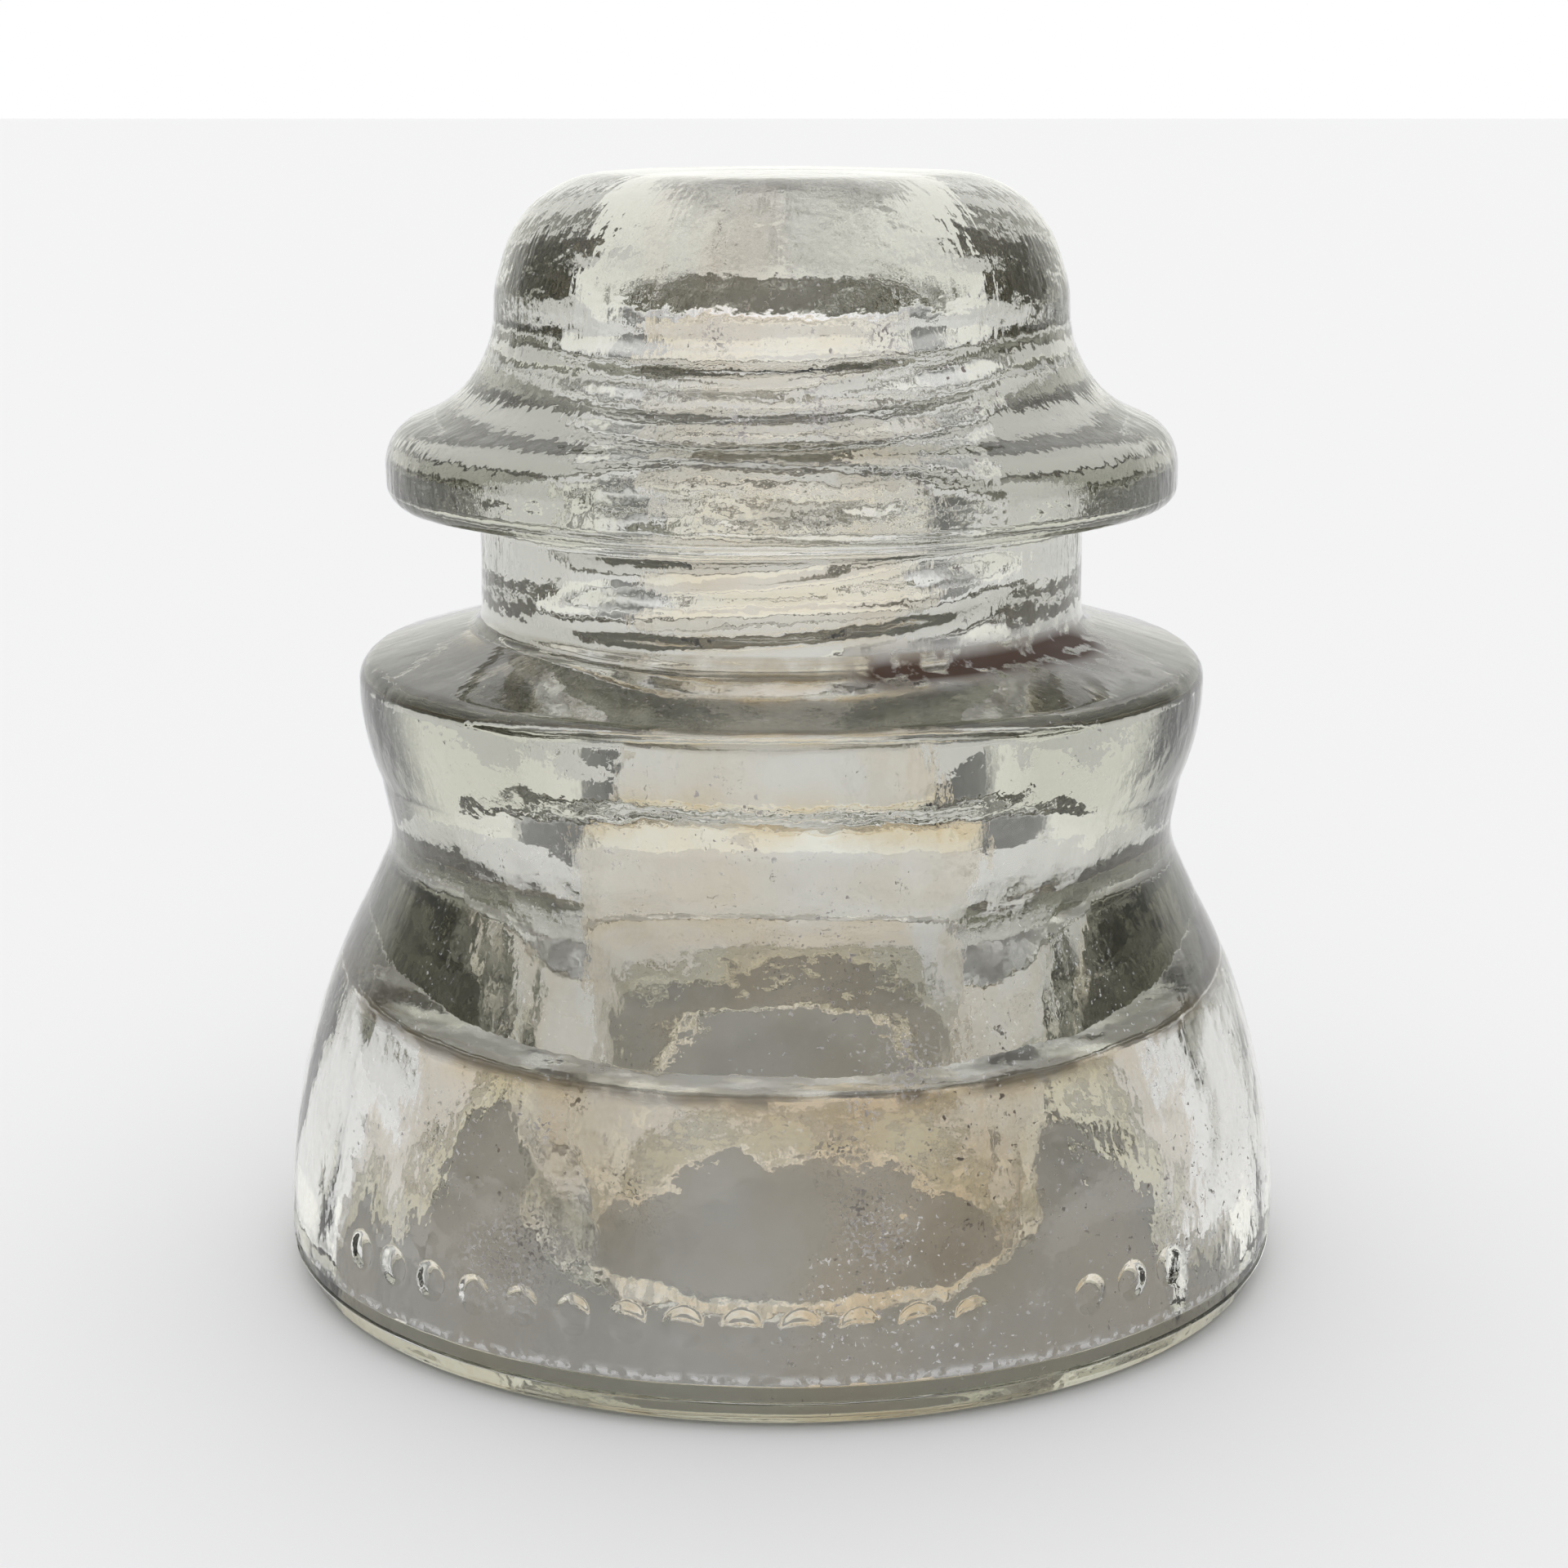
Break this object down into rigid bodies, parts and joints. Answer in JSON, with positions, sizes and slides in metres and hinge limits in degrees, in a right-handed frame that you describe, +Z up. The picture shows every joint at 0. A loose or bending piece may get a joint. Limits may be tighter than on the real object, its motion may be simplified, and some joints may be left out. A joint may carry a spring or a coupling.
{
  "type": "pin insulator",
  "caption": "Clear pressed-glass pin insulator with a domed crown, a side wire groove, a bell skirt over an inner petticoat, and a threaded blind pin hole",
  "frame": {"origin": "centre of the ring-shaped foot, in the plane that the insulator stands on", "axes": "+Z up along the pin hole towards the crown; the part is round about Z, so X and Y are free"},
  "size_m": [0.0826, 0.0826, 0.0888],
  "materials": {
    "clear_glass": "clear pressed glass with a faint olive-grey tint, glossy, slightly rippled, with dust on the skirt"
  },
  "bodies": {
    "root": {"glass_body": "clear_glass"}
  },
  "joints": []
}
